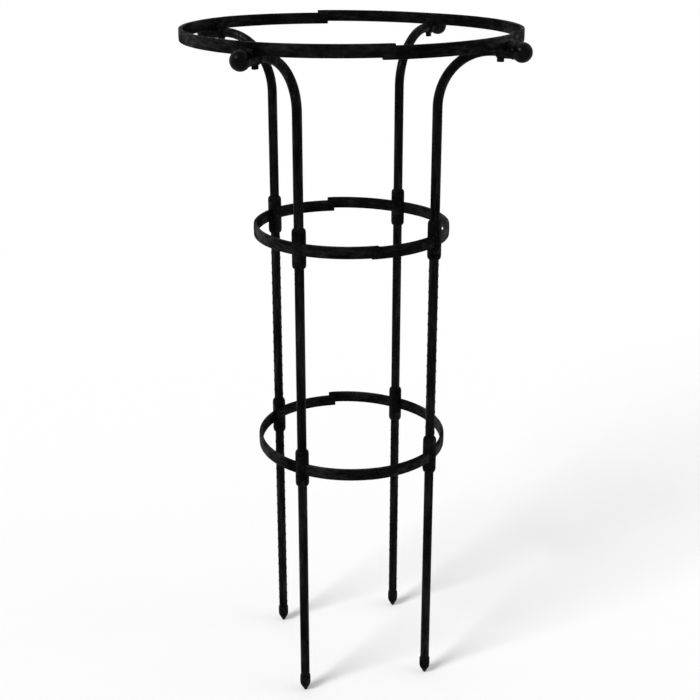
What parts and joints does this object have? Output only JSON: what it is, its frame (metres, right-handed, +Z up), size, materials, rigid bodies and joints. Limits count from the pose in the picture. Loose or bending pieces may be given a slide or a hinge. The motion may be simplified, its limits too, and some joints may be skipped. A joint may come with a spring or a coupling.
{
  "type": "plant support",
  "caption": "Garden plant support: legs of plugged-together tubes carry small rings in sleeves and a wide ring in clips, with ball ends above and blunt points below.",
  "frame": {"origin": "on the ground, midway between the four feet, under the rings' common axis", "axes": "+Z up along the legs, +X to the right and -Y to the front; the legs stand at 45 degrees to X and Y and the ring laps lie at the front and back"},
  "size_m": [0.425, 0.4314, 0.899],
  "materials": {
    "coated_tube": "black plastic coat on steel tube, satin",
    "moulded_black": "moulded black plastic, satin",
    "band_black": "smooth black plastic strip, half gloss",
    "ball_black": "smooth black plastic, gloss"
  },
  "bodies": {
    "root": {"back_left_ball_end": "ball_black", "back_left_bent_top_tube": "coated_tube", "back_left_ground_point": "moulded_black", "back_left_lower_sleeve": "moulded_black", "back_left_lower_tube": "coated_tube", "back_left_middle_tube": "coated_tube", "back_left_ring_clip": "moulded_black", "back_left_upper_sleeve": "moulded_black", "back_right_ball_end": "ball_black", "back_right_bent_top_tube": "coated_tube", "back_right_ground_point": "moulded_black", "back_right_lower_sleeve": "moulded_black", "back_right_lower_tube": "coated_tube", "back_right_middle_tube": "coated_tube", "back_right_ring_clip": "moulded_black", "back_right_upper_sleeve": "moulded_black", "bottom_ring_left_half": "band_black", "bottom_ring_right_half": "band_black", "front_left_ball_end": "ball_black", "front_left_bent_top_tube": "coated_tube", "front_left_ground_point": "moulded_black", "front_left_lower_sleeve": "moulded_black", "front_left_lower_tube": "coated_tube", "front_left_middle_tube": "coated_tube", "front_left_ring_clip": "moulded_black", "front_left_upper_sleeve": "moulded_black", "front_right_ball_end": "ball_black", "front_right_bent_top_tube": "coated_tube", "front_right_ground_point": "moulded_black", "front_right_lower_sleeve": "moulded_black", "front_right_lower_tube": "coated_tube", "front_right_middle_tube": "coated_tube", "front_right_ring_clip": "moulded_black", "front_right_upper_sleeve": "moulded_black", "middle_ring_left_half": "band_black", "middle_ring_right_half": "band_black", "top_ring_left_half": "band_black", "top_ring_right_half": "band_black"}
  },
  "joints": []
}
